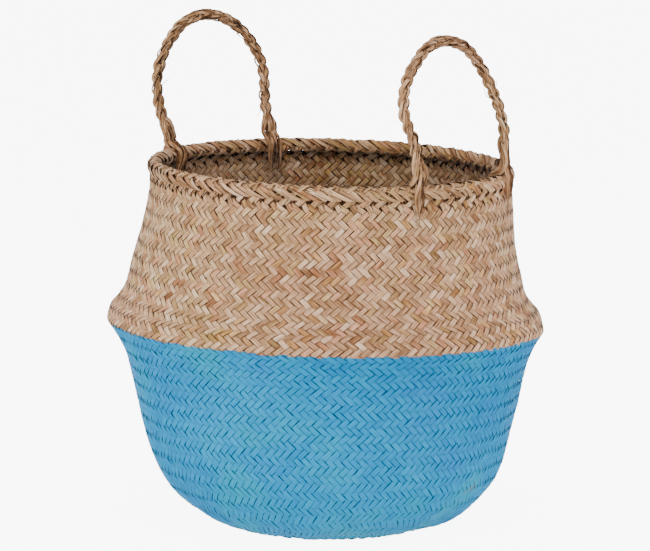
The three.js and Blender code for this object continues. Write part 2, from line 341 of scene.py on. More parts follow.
def outline_with_outward(line):
    """The outline and the way that it faces at each of its points"""
    along = unit(np.gradient(line, axis=0))
    return line, np.stack([along[:, 1], -along[:, 0]], axis=1)


def body_outline():
    """Middle line of the weave from the base to the rim: radius, height, and the outward direction"""
    body = settings("basket_body")
    step = 0.5 * MM
    corner_reach = 5
    neck_radius = body.rim_radius + body.wall_outside_rim
    neck_height = body.rim_height - body.neck_drop
    lower = [(body.base_radius + (body.belly_radius - body.base_radius) * out, body.belly_height * up)
             for out, up in LOWER_OUTLINE_SHARES]
    upper = [(neck_radius + (body.belly_radius - neck_radius) * out,
              body.belly_height + (neck_height - body.belly_height) * up)
             for out, up in UPPER_OUTLINE_SHARES]
    # The hem starts on the flat base and takes the place of the lower outline's first points
    hem = [(body.base_radius - 9 * MM, 1.6 * MM), (body.base_radius - 3 * MM, 1.5 * MM)]
    after_hem = 6
    behind_rim = [(neck_radius - 1 * MM, neck_height + 3 * MM)]
    line = np.vstack([hem, smooth_curve(lower)[after_hem:], smooth_curve(upper)[1:], behind_rim])
    line = rounded(even_curve(line, step), corner_reach)
    line, outward = outline_with_outward(even_curve(line, step))
    return line - outward * body.half_wall, outward


def slump(points):
    """The body isn't quite round: its belly fold tilts, its side bulges and its wall waves a little"""
    body = settings("basket_body")
    azimuth = settings("basket_stage").azimuth
    foot, low_wall, mid_wall = 10 * MM, 100 * MM, 150 * MM
    neck_depth, root_height = 70 * MM, 16 * MM
    hem_width, hem_bottom, hem_top = 12 * MM, 4 * MM, 40 * MM
    x, y, z = points[..., 0], points[..., 1], points[..., 2]
    around = np.arctan2(y, x)
    radius = np.maximum(np.hypot(x, y), 1 * MM)
    sideways = x * math.cos(azimuth) + y * math.sin(azimuth)
    below_rim = 1 - smooth_step(z, body.weave_top - neck_depth, body.weave_top)
    shift = body.belly_widening * sideways - body.belly_shift * smooth_step(z, foot, low_wall)
    shift = shift * below_rim
    tilt = -body.belly_tilt * sideways * smooth_step(z, foot, mid_wall)
    tilt = tilt * (1 - smooth_step(z, body.rim_height, body.rim_height + root_height))
    waves = sum(size * np.sin(count * around + start + z * rise) for size, count, start, rise in DENT_WAVES)
    dents = body.dent_depth * waves * below_rim * smooth_step(z, 0, hem_top)
    hem = smooth_step(radius, body.base_radius, body.base_radius + hem_width)
    hem = hem * (1 - smooth_step(z, hem_bottom, hem_top))
    waves = sum((size * np.sin(count * around + start) for size, count, start in HEM_WAVES), 1.2)
    moved = points.copy()
    moved[..., 0] = x * (1 + dents / radius) + shift * math.cos(azimuth)
    moved[..., 1] = y * (1 + dents / radius) + shift * math.sin(azimuth)
    moved[..., 2] = z + tilt + body.hem_lift * hem * waves
    return moved


# Strips


def strip_rings(centres, outward, half_width, half_thickness):
    """Sections of many strips, from their middle lines and the way each faces"""
    along = unit(np.gradient(centres, axis=1))
    across = unit(np.cross(outward, along))
    up = np.cross(along, across)
    wide = across[:, :, None, :] * SECTION_SHARES[:, 0, None] * np.asarray(half_width)[..., None, None]
    thick = up[:, :, None, :] * SECTION_SHARES[:, 1, None] * np.asarray(half_thickness)[..., None, None]
    return centres[:, :, None, :] + wide + thick


def surface_strips(theta, line, outward, lift, half_width, half_thickness):
    """Strips that run over a surface of revolution at the given angles round it"""
    cos, sin = np.cos(theta), np.sin(theta)
    radius = line[:, 0] + lift * outward[:, 0]
    height = line[:, 1] + lift * outward[:, 1]
    centres = np.stack([radius * cos, radius * sin, height + 0 * theta], axis=2)
    facing = np.stack([outward[:, 0] * cos, outward[:, 0] * sin, outward[:, 1] + 0 * theta], axis=2)
    return strip_rings(centres, facing, half_width, half_thickness)


def strip_mesh(name, rings, tones):
    """One mesh of closed strips, with a map for its finish, a map along the grain and its tones"""
    strips, samples, corners = rings.shape[:3]
    corner_numbers = np.arange(strips * samples * corners).reshape(strips, samples, corners)
    wrapped = np.concatenate([corner_numbers, corner_numbers[:, :, :1]], axis=2)
    middle = rings.mean(axis=2)
    first_face = np.cross(rings[0, 0, 1] - rings[0, 0, 0], rings[0, 1, 0] - rings[0, 0, 0])
    inside_out = np.dot(first_face, rings[0, 0, :2].mean(axis=0) - middle[0, 0]) < 0

    def corners_of(values):
        """A value for each corner of the side faces, then for each corner of the closed ends"""
        sides = np.stack(
            [values[:, :-1, :-1], values[:, :-1, 1:], values[:, 1:, 1:], values[:, 1:, :-1]], axis=3)
        ends = np.stack([values[:, 0, :-1][:, ::-1], values[:, -1, :-1]], axis=1)
        if inside_out:
            sides, ends = sides[..., ::-1], ends[..., ::-1]
        return sides, ends

    sides, ends = corners_of(wrapped)
    faces, caps = sides.size // 4, ends.size // corners
    mesh = bpy.data.meshes.new(name)
    mesh.vertices.add(rings.size // 3)
    mesh.vertices.foreach_set("co", rings.astype(np.float32).ravel())
    mesh.loops.add(sides.size + ends.size)
    mesh.loops.foreach_set("vertex_index", np.concatenate([sides.ravel(), ends.ravel()]).astype(np.int32))
    mesh.polygons.add(faces + caps)
    starts = np.concatenate([np.arange(faces) * 4, sides.size + np.arange(caps) * corners])
    mesh.polygons.foreach_set("loop_start", starts.astype(np.int32))
    mesh.update(calc_edges=True)

    end_margin, side_margin, end_slant = 0.015, 0.06, 0.006
    grain_step_along, grain_step_across = 0.37, 0.0131
    row = np.arange(strips)[:, None, None]
    down = np.arange(samples)[None, :, None] / (samples - 1) * (1 - 2 * end_margin) + end_margin
    aside = (row + side_margin + (1 - 2 * side_margin) * ROUND_SHARES) / strips
    width = np.linalg.norm(rings[:, :, 3] - rings[:, :, 0], axis=2)[:, :, None]
    steps = np.linalg.norm(np.diff(middle, axis=1, prepend=middle[:, :1]), axis=2)
    slant = np.array((-end_slant, end_slant))[:, None] * np.abs(np.sin(np.arange(corners)))
    if inside_out:
        slant = slant[:, ::-1]
    for map_name, first, second, end_shift in (
            ("OFBake", down, aside, slant),
            ("Grain", np.cumsum(steps, axis=1)[:, :, None] + row * grain_step_along,
             GRAIN_SHARES * width + row * grain_step_across, 0)):
        first, second = np.broadcast_arrays(first, second)
        first_sides, first_ends = corners_of(first)
        second_sides, second_ends = corners_of(second)
        along = np.concatenate([first_sides.ravel(), (first_ends + end_shift).ravel()])
        across = np.concatenate([second_sides.ravel(), second_ends.ravel()])
        layer = mesh.uv_layers.new(name=map_name)
        layer.data.foreach_set("uv", np.stack([along, across], axis=1).astype(np.float32).ravel())

    # Mask for the painted shade along each strip's two side edges
    edge_shade = np.broadcast_to(np.abs(SECTION_SHARES[:, 0]) == 1, rings.shape[:3])
    for tone_name, values in {"edge_shade": edge_shade, **tones}.items():
        values = np.asarray(values, float)
        while values.ndim < 3:
            values = values[..., None]
        layer = mesh.attributes.new(tone_name, "FLOAT", "POINT")
        layer.data.foreach_set("value", np.broadcast_to(values, rings.shape[:3]).astype(np.float32).ravel())
    mesh.polygons.foreach_set("use_smooth", np.zeros(len(mesh.polygons), bool))
    mesh.validate()
    return mesh


def add_piece(name, rings, tones, material, body, nodes):
    """A piece of the basket made of strips, in its finish, moving with its part of the frame"""
    piece = bpy.data.objects.new(name, strip_mesh(name, rings, tones))
    bpy.context.scene.collection.objects.link(piece)
    piece.data.materials.append(material)
    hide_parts(*nodes)
    if body:
        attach(piece, body)
    return piece


# Weave of the body


class Weave:
    """The lattice of the body: how far along the pattern each height is, and what stands there"""

    def __init__(self):
        body = settings("basket_body")
        fold_blend = 6 * MM
        widest_share = 0.94
        self.line, self.outward = body_outline()
        step = np.linalg.norm(np.diff(self.line, axis=0), axis=1)
        spacing_round = TURN * self.line[:, 0] / body.strips
        natural = smooth_step(self.line[:, 1], body.belly_height - fold_blend, body.belly_height + fold_blend)
        spacing = body.painted_spacing + (body.natural_spacing - body.painted_spacing) * natural
        self.across = np.minimum(spacing, widest_share * spacing_round)
        lean = np.arccos(self.across / spacing_round)
        rate = np.tan(lean) / spacing_round
        self.count = 2 * np.concatenate([[0], np.cumsum((rate[1:] + rate[:-1]) / 2 * step)])

    def at(self, height):
        """Crossings counted from the bottom up to a height of the upper or lower wall"""
        past_hem = 200
        return float(np.interp(height, self.line[past_hem:, 1], self.count[past_hem:]))

    def samples(self, low, high):
        """Everything a strip needs at each half crossing between two counts"""
        counts = np.arange(math.ceil(low * 2), math.floor(high * 2) + 1) / 2
        columns = (*self.line.T, *self.outward.T, self.across)
        radius, height, out, up, across = [np.interp(counts, self.count, column) for column in columns]
        return counts, np.stack([radius, height], axis=1), np.stack([out, up], axis=1), across


def woven_wave(phase):
    """Rise and dive of a strip that goes over two and under two, at a count of crossings"""
    return np.clip(FLOAT_FLATNESS * np.cos(TURN * phase / 4), -1, 1)


def weave_strips(weave, low, high, direction, lanes, rng):
    """Strips that lean one way between two counts of the pattern, with their tones"""
    body = settings("basket_body")
    counts, line, outward, across = weave.samples(low, high)
    every = np.arange(body.strips)[lanes]
    one_each = (len(every), 1)
    opening = weave.at(body.weave_top)
    open_out = smooth_step(counts, opening, opening + OPENING_ROWS)
    closeness = np.repeat(rng.uniform(0.6, 0.9, body.strips // 2 + 1), 2)[every][:, None]
    lane = every[:, None] + 0.5
    pair_middle = (every[:, None] // 2) * 2 + 1.0
    lane = lane + (pair_middle - lane) * closeness * open_out
    drift = 0.04 * np.sin(counts * 0.55 + rng.uniform(0, TURN, one_each))
    theta = (lane + drift - direction * counts / 2) * TURN / body.strips
    middle = (0.5 if direction > 0 else 2.5) - 0.5 * open_out
    depth = body.weave_depth * (1 + 1.1 * open_out)
    pair_step = 0.34 * MM * np.where(every % 2 == 0, 1, -1)[:, None] * open_out
    settle = rng.normal(0, 0.1 * MM, one_each)
    settle = settle + 0.05 * MM * np.sin(counts * 0.9 + rng.uniform(0, TURN, one_each))
    lift = depth * woven_wave(counts - middle) + pair_step + settle
    half_width = across * body.strip_fill * rng.uniform(1.04, 1.1, one_each) / 2
    half_thickness = np.full(half_width.shape, body.strip_thickness / 2)
    rings = surface_strips(theta, line, outward, lift, half_width, half_thickness)
    height = rings[..., 2]
    turn = np.floor((counts - middle + 2) / 4).astype(int)
    turn -= turn.min()
    float_tone = rng.random((len(every), turn.max() + 1))[:, turn]
    paint_line = body.belly_height - body.paint_drop + rng.uniform(-1.2 * MM, 1.2 * MM, (len(every), 1, 1))
    paint_blend = 8 * MM
    tones = {
        "strip_tone": rng.random(one_each) + 0 * lift,
        "float_tone": float_tone,
        "paint": np.clip(0.5 + (paint_line - height) / paint_blend, 0, 1),
    }
    return slump(rings), tones


class BASKET_OT_weave_body(bpy.types.Operator):
    """Weaves the painted lower wall and the natural upper wall from strips leaning both ways"""

    bl_idname = "basket.weave_body"
    bl_label = "Weave body"

    def execute(self, context):
        body = settings("basket_body")
        weave = Weave()
        rng = np.random.default_rng(body.seed)
        fold = round(weave.at(body.belly_height) * 2) / 2
        painted, natural = leaf_material("painted_weave"), leaf_material("natural_weave")
        for lean, direction in (("left", 1), ("right", -1)):
            for lane in range(2):
                rings, tones = weave_strips(weave, 0, fold, direction, slice(lane, None, 2), rng)
                add_piece(f"painted_strips_leaning_{lean}_{lane + 1}", rings, tones, painted,
                          "basket", ["lower_wall"])
            rings, tones = weave_strips(weave, fold, weave.count[-1], direction, slice(None), rng)
            add_piece(f"natural_strips_leaning_{lean}", rings, tones, natural,
                      "basket", ["upper_wall"])
        return {"FINISHED"}


class BASKET_OT_plait_base(bpy.types.Operator):
    """Plaits the flat round mat of the base from strips laid square to each other"""

    bl_idname = "basket.plait_base"
    bl_label = "Plait base"

    def execute(self, context):
        body = settings("basket_body")
        rng = np.random.default_rng(body.seed + 1)
        spacing = body.painted_spacing
        middle_height = 1 * MM
        half_width = spacing * body.strip_fill * 0.53
        floats = 40
        lanes = int(body.base_radius // spacing)
        lane = np.arange(-lanes, lanes)[:, None]
        offset = (lane + 0.5) * spacing
        along = np.sqrt(body.base_radius ** 2 - offset ** 2) * np.linspace(-1, 1, 4 * lanes + 1)
        crossing = along / spacing - 0.5
        beside = offset + 0 * along
        float_number = np.arange(along.shape[1]) // 4 % floats
        for name, phase, x, y in (
                ("lengthwise", crossing - lane, along, beside),
                ("crosswise", lane - crossing + 2, beside, along)):
            centres = np.stack([x, y, middle_height - body.weave_depth * woven_wave(phase - 0.5)], axis=2)
            facing = np.zeros_like(centres)
            facing[..., 2] = -1
            rings = strip_rings(centres, facing, np.full(along.shape, half_width),
                                np.full(along.shape, body.strip_thickness / 2))
            tones = {
                "strip_tone": rng.random((2 * lanes, 1)) + 0 * along,
                "float_tone": rng.random((2 * lanes, floats))[:, float_number],
                "paint": np.ones_like(along),
            }
            add_piece(f"base_strips_{name}", rings, tones, leaf_material("painted_weave"),
                      "basket", ["base_panel"])
        return {"FINISHED"}


# Rim


def rim_outline(rim, body, step):
    """Outline of the braid over the rim, from outside below to inside below"""
    angle = np.linspace(-math.radians(58), math.radians(238), 112)
    line = np.stack([
        body.rim_radius + rim.half_depth * np.cos(angle),
        body.rim_height - rim.middle_drop + rim.half_height * np.sin(angle)], axis=1)
    return outline_with_outward(even_curve(line, step))


class BASKET_OT_braid_rim(bpy.types.Operator):
    """Braids bundles of leaves over the rim, long floats leaning one way and short ones the other"""

    bl_idname = "basket.braid_rim"
    bl_label = "Braid rim"

    def execute(self, context):
        body = settings("basket_body")
        rim = settings("basket_rim")
        rng = np.random.default_rng(body.seed + 2)
        weave = Weave()
        step = 0.4 * MM
        line, outward = rim_outline(rim, body, step)
        around = TURN * body.rim_radius / rim.bundles
        distance = np.arange(len(line)) * step
        crossings = distance * (math.tan(rim.long_slope) + math.tan(rim.short_slope)) / around
        every_second = slice(None, None, 2)
        braid = [values[every_second] for values in (distance, crossings, line, outward)]
        self.add_floats("long", 1, rim.long_slope, 0.98, 0.75, "rim_plait_strand_1", weave, braid, rng)
        self.add_floats("short", -1, rim.short_slope, 0.52, 2.25, "rim_plait_strand_2", weave, braid, rng)
        self.add_core(body, rim)
        self.add_ends(body, rim, weave, rng)
        return {"FINISHED"}

    def add_floats(self, name, direction, slope, fill, middle, node, weave, braid, rng):
        """Two leaves a bundle, all leaning one way over the rim"""
        body = settings("basket_body")
        rim = settings("basket_rim")
        distance, crossings, line, outward = braid
        around = TURN * body.rim_radius / rim.bundles
        rate = math.tan(slope) / around
        one_each = (rim.bundles, 1)
        leaf_step = 0.6 * MM
        leaf_width = around * math.cos(slope) * fill / 2
        wave = 1.8 * np.cos(TURN * (crossings - middle) / 3) + 0.7 * direction
        turn = np.floor((crossings - middle + 1.5) / 3).astype(int)
        turn -= turn.min()
        all_rings, strip_tones, float_tones = [], [], []
        for side in (-0.5, 0.5):
            wander = 0.14 * np.sin(distance * 300 + rng.uniform(0, TURN, one_each))
            beside = side * 0.46 * fill * rng.uniform(0.8, 1.1, one_each)
            place = np.arange(rim.bundles)[:, None] + 0.5 + beside + wander
            theta = (place - direction * (weave.count[-1] / 4 + distance * rate)) * TURN / rim.bundles
            lift = rim.braid_depth * np.clip(wave, -1, 1) + side * leaf_step
            lift = lift + rng.normal(0, 0.25 * MM, one_each)
            half_width = leaf_width / 2 * rng.uniform(1.05, 1.5, one_each) + 0 * lift
            half_thickness = np.full(lift.shape, LEAF_HALF_THICKNESS)
            all_rings.append(slump(surface_strips(theta, line, outward, lift, half_width, half_thickness)))
            strip_tones.append(rng.random(one_each) + 0 * lift)
            float_tones.append(rng.random((rim.bundles, turn.max() + 1))[:, turn])
        float_tone = np.concatenate(float_tones)
        tones = {"strip_tone": np.concatenate(strip_tones), "float_tone": float_tone, "paint": 0 * float_tone}
        add_piece(f"rim_{name}_floats", np.concatenate(all_rings), tones, leaf_material("rim_plait"),
                  "basket", [node])

    def add_core(self, body, rim):
        """The bundle that the braid is laid round"""
        bpy.ops.object.select_all(action="DESELECT")
        bpy.ops.mesh.primitive_torus_add(
            major_radius=body.rim_radius, minor_radius=rim.half_depth * rim.core_share, major_segments=180,
            minor_segments=16, location=(0, 0, body.rim_height - rim.middle_drop))
        core = bpy.context.object
        bpy.ops.object.transform_apply(location=True, rotation=True, scale=True)
        core.name = core.data.name = "rim_core"
        points = np.empty(len(core.data.vertices) * 3, np.float32)
        core.data.vertices.foreach_get("co", points)
        core.data.vertices.foreach_set("co", slump(points.reshape(-1, 3)).ravel())
        # The shade value of 0.4 colours the core almost wholly in the dark gap colour: painted shade where
        # the core shows between the braid's floats
        for tone, value in (("strip_tone", 0.2), ("float_tone", 0.2), ("paint", 0), ("edge_shade", 0.4)):
            layer = core.data.attributes.new(tone, "FLOAT", "POINT")
            layer.data.foreach_set("value", np.full(len(core.data.vertices), value, np.float32))
        core.data.uv_layers[0].name = "Grain"
        core.data.materials.append(leaf_material("rim_plait"))
        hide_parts("rim_plait_strand_3")
        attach(core, "basket")

    def add_ends(self, body, rim, weave, rng):
        """The turned-down strip ends that lie between the layers of the open weave, coloured almost wholly in
        the painted gap shade
        """
        tuck = 10 * MM
        counts, line, outward = weave.samples(weave.at(body.weave_top - tuck), weave.count[-1])[:3]
        theta = (np.arange(rim.bundles)[:, None] + 0.5) * TURN / rim.bundles + 0 * counts
        half_width = np.full(theta.shape, 0.56 * TURN * body.rim_radius / rim.bundles)
        rings = slump(surface_strips(theta, line, outward, 0 * theta, half_width, 0.02 * half_width))
        tones = {
            "strip_tone": rng.uniform(0, 0.4, (rim.bundles, 1)) + 0 * theta,
            "float_tone": 0.1 + 0 * theta,
            "paint": 0 * theta,
            # The shade value of 0.38 colours these ends almost wholly in the dark gap colour: painted shade
            # seen through the open weave
            "edge_shade": 0.38 + 0 * theta,
        }
        add_piece("rim_turned_down_ends", rings, tones, leaf_material("rim_plait"), "basket",
                  ["rim_plait_strand_3"])


# Handles


def plait_offset(strand, turn, spread, depth):
    """How far a strand lies sideways and outwards from the rope's middle line"""
    phase = turn + TURN * strand / 3
    return spread * np.clip(1.35 * np.sin(phase), -1, 1), depth * np.sin(2 * phase)


def arch_points(handles, rise, sway):
    """Middle line of a handle's rope in its own frame: Y along the hinge line and Z up"""
    low = handles.foot_rise
    top = rise - handles.hinge_rise
    half = [(bow * top, out * handles.half_span, low + (top - low) * up) for out, up, bow in ARCH_SHARES]
    points = np.array(half + [(0, 0, top)] + [(x, -y, z) for x, y, z in reversed(half)])
    points[:, 1] += sway * np.sin(np.pi * (points[:, 2] - low) / (top - low)) ** 2
    return even_curve(smooth_curve(points, 16), ROPE_STEP)


def tail_points(handles, body, outside, end, offset, root_angle):
    """A strand's way from the hinge line over the rim and down the wall, in its root's frame"""
    facing = 1 if outside else -1
    neck_out = handles.hinge_outside * math.cos(root_angle)
    neck_aside = offset - end * handles.hinge_outside * math.sin(root_angle)
    top = body.rim_height
    hinge = top + handles.hinge_rise
    above, below = 5 * MM, 2 * MM
    shoulder, side_top, side_low = 1.9 * MM, 1.8 * MM, 10 * MM
    beside = handles.tail_beside
    length = handles.outer_tail if outside else handles.inner_tail
    tip = 7.2 * MM if outside else 4.2 * MM
    return even_curve(smooth_curve([
        (neck_out, neck_aside, hinge + above),
        (neck_out, neck_aside, hinge - below),
        ((neck_out + facing * beside) / 2, (neck_aside + offset) / 2, top + shoulder),
        (facing * beside, offset, top - side_top),
        (facing * beside, offset, top - side_low),
        (facing * (beside * 0.35 + tip * 0.65), offset, top - length)]), ROPE_STEP)


def turned(points, angle, axis):
    """Points turned about one axis"""
    first, second = [(1, 2), (2, 0), (0, 1)][axis]
    cos, sin = math.cos(angle), math.sin(angle)
    out = points.copy()
    out[..., first] = points[..., first] * cos - points[..., second] * sin
    out[..., second] = points[..., first] * sin + points[..., second] * cos
    return out


class Handle:
    """One handle: where it stands and the ways of its three strands"""

    def __init__(self, side):
        self.handles = settings("basket_handles")
        self.body = settings("basket_body")
        self.bearing = self.handles.bearing if side == "right" else math.pi - self.handles.bearing
        self.rise, self.lean, self.sway = (
            getattr(self.handles, f"{side}_{size}") for size in ("rise", "lean", "sway"))
        self.root_angle = math.asin(self.handles.half_span / self.body.rim_radius)
        self.chord = self.body.rim_radius * math.cos(self.root_angle) + self.handles.hinge_outside
        self.hinge_height = self.body.rim_height + self.handles.hinge_rise

    def placed(self, points):
        """Points of the handle's own frame, leaned and set at its side of the rim"""
        cos, sin = math.cos(self.bearing), math.sin(self.bearing)
        out = turned(turned(points, self.lean, 1), self.bearing, 2)
        return out + np.array((self.chord * cos, self.chord * sin, self.hinge_height))

    def root(self, points, end):
        """Points of a root's own frame, set at one end of the handle"""
        angle = self.bearing + end * self.root_angle
        radius = self.body.rim_radius
        return turned(points, angle, 2) + np.array((radius * math.cos(angle), radius * math.sin(angle), 0))

    def strand(self, number):
        """Middle line of a strand from one tail's tip over the arch to the other tip"""
        handles = self.handles
        arch = arch_points(handles, self.rise, self.sway)
        share = np.linspace(0, 1, len(arch))
        pitches = round((len(arch) - 1) * ROPE_STEP / handles.pitch)
        plain = 0.035
        plaited = smooth_step(np.minimum(share, 1 - share), 0, plain)
        tangent = unit(np.gradient(arch, axis=0))
        side = unit(np.stack([0 * share, -tangent[:, 2], plaited * tangent[:, 1]], axis=1))
        across = unit(np.cross(tangent, side))
        turn = TURN * pitches * np.clip((share - plain) / (1 - 2 * plain), 0, 1)
        sideways, in_out = plait_offset(number, turn, handles.spread, handles.depth)
        slot = (0, 1, -1)[number] * handles.slot_spacing
        aside = slot + (sideways - slot) * plaited
        rope = arch + side * aside[:, None] + across * (plaited * in_out)[:, None]
        outside = number == 0
        first, last = (
            self.root(tail_points(handles, self.body, outside, end, -end * slot, self.root_angle), end)
            for end in (1, -1))
        join = 14
        line = np.vstack([first[::-1], self.placed(rope)[join:-join], last])
        return slump(rounded(even_curve(line, 0.7 * MM), 4))


def bundle_rings(line, facing, radius, leaves, rng, flatness):
    """A strand as overlapping leaves that wind slowly round its middle line"""
    twist_per_metre = 30
    along = unit(np.gradient(line, axis=0))
    side = unit(np.cross(facing, along))
    up = np.cross(along, side)
    length = np.arange(len(line)) * np.linalg.norm(line[1] - line[0])
    wide, deep = 1.2 + 0.6 * flatness, 0.8 - 0.4 * flatness
    centres, ups, widths = [], [], []
    for leaf in range(leaves):
        wander = 0.5 * np.sin(length * 90 + rng.uniform(0, TURN))
        angle = TURN * leaf / leaves + twist_per_metre * length + wander + rng.normal(0, 0.15)
        way = (np.cos(angle) * wide)[:, None] * side + (np.sin(angle) * deep)[:, None] * up
        swell = 1 + 0.07 * np.sin(length * 140 + rng.uniform(0, TURN)) + rng.normal(0, 0.04)
        centres.append(line + way * (radius * 0.76 * swell)[:, None])
        ups.append(unit(way))
        width = radius * rng.uniform(0.52, 0.74)
        widths.append(width * (1 + 0.15 * np.sin(length * 60 + rng.uniform(0, TURN))))
    widths = np.array(widths)
    return strip_rings(np.array(centres), np.array(ups), widths, np.full(widths.shape, LEAF_HALF_THICKNESS))


def loose_ends(line, facing, share, rng):
    """Two thin fibres that have sprung out of a strand"""
    count = len(line)
    samples = 26
    half_width, half_thickness = 0.7 * MM, 0.2 * MM
    inside, in_front = 2 * MM, 1.5 * MM
    out = np.linspace(0, 1, count)
    width = half_width * (1 - 0.6 * out)
    thickness = np.full((1, count), half_thickness)
    ends = []
    for reach in (9 * MM, -6 * MM):
        start = int((share + rng.uniform(-0.03, 0.03)) * count)
        take = np.linspace(start, start + samples, count)
        centres = np.stack([np.interp(take, np.arange(count), column) for column in line.T], axis=1)
        way = unit(np.cross(facing, np.gradient(centres, axis=0)))
        centres = centres + way * (math.copysign(inside, reach) + reach * out ** 2)[:, None]
        centres = centres + facing * (in_front * (1 - out))[:, None]
        ends.append(strip_rings(centres[None], facing[None], width[None], thickness))
    return np.concatenate(ends)


def leaf_tones(rings, rng):
    """Tones that change from leaf to leaf and slowly along each"""
    run = 22
    leaves, samples = rings.shape[:2]
    knots = rng.random((leaves, samples // run + 2))
    at = np.arange(samples) / run
    along = np.stack([np.interp(at, np.arange(knots.shape[1]), row) for row in knots])
    return {"strip_tone": rng.random((leaves, 1)) + 0 * along, "float_tone": along, "paint": 0 * along}


class BASKET_OT_plait_handles(bpy.types.Operator):
    """Plaits each handle from three strands of leaves whose ends straddle the rim"""

    bl_idname = "basket.plait_handles"
    bl_label = "Plait handles"

    def execute(self, context):
        rng = np.random.default_rng(settings("basket_body").seed + 3)
        for side in ("right", "left"):
            handle = Handle(side)
            middle = handle.placed(np.zeros((1, 3)))[0]
            for number in range(3):
                rings = self.strand_rings(handle, number, rng)
                piece = add_piece(
                    f"{side}_handle_leaves_{number + 1}", rings, leaf_tones(rings, rng),
                    leaf_material("handle_rope"), None, self.strand_nodes(side, number))
                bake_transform(piece)
        return {"FINISHED"}

    def strand_rings(self, handle, number, rng):
        """Leaves of one strand, thicker at the rim and thinning down its tails, and its loose ends"""
        handles = handle.handles
        outer = number == 0
        line = handle.strand(number)
        above_rim = line[:, 2] - handle.body.rim_height
        drop = np.clip(-above_rim / handles.outer_tail, 0, 1)
        thinning = smooth_step(drop, 0.4, 0.85) if outer else drop ** 1.5
        at_rim = 1 - smooth_step(np.abs(above_rim), 14 * MM, 40 * MM)
        radius = handles.strand_radius * (1 - 0.88 * thinning) * (1 + 0.24 * at_rim)
        facing = np.tile((math.cos(handle.bearing), math.sin(handle.bearing), 0.0), (len(line), 1))
        flatness = smooth_step(drop, 0, 0.35) * outer
        leaves = bundle_rings(line, facing, radius, handles.leaves, rng, flatness)
        return np.concatenate([leaves, loose_ends(line, facing, LOOSE_END_SHARES[number], rng)])

    def strand_nodes(self, side, number):
        """Nodes of the frame that one strand and its two tails take the place of"""
        nodes = [f"{side}_handle_strand_{number + 1}"]
        for place in ("front", "rear"):
            if number == 0:
                nodes.append(f"{side}_handle_{place}_outer_tail")
            else:
                rear_first = (side == "right") == (place == "rear")
                nodes.append(f"{side}_handle_{place}_inner_tail_{number if rear_first else 3 - number}")
        return nodes


class BASKET_OT_wind_lashing(bpy.types.Operator):
    """Winds one flat strip round the rear root of the right handle"""

    bl_idname = "basket.wind_lashing"
    bl_label = "Wind lashing"

    def execute(self, context):
        rng = np.random.default_rng(settings("basket_body").seed + 4)
        handle = Handle("right")
        turns, samples = 1.6, 90
        out, aside = 3.4 * MM, handle.handles.slot_spacing + 3.1 * MM
        start_below, climb, slant = 4 * MM, 1.6 * MM, 2.2 * MM
        half_width = 2.1 * MM
        angle = np.linspace(0, TURN * turns, samples)
        height = handle.hinge_height - start_below + climb * angle / TURN + slant * np.sin(angle)
        line = handle.root(np.stack([out * np.cos(angle), aside * np.sin(angle), height], axis=1), 1)
        facing = line - handle.root(np.zeros((1, 3)), 1)
        facing[:, 2] = 0
        width = np.full((1, samples), half_width)
        rings = strip_rings(line[None], unit(facing)[None], width, np.full(width.shape, LEAF_HALF_THICKNESS))
        rings = slump(rings)
        add_piece("right_handle_lashing_strip", rings, leaf_tones(rings, rng), leaf_material("natural_weave"),
                  "basket", ["right_handle_rear_lashing"])
        return {"FINISHED"}


# Finishes


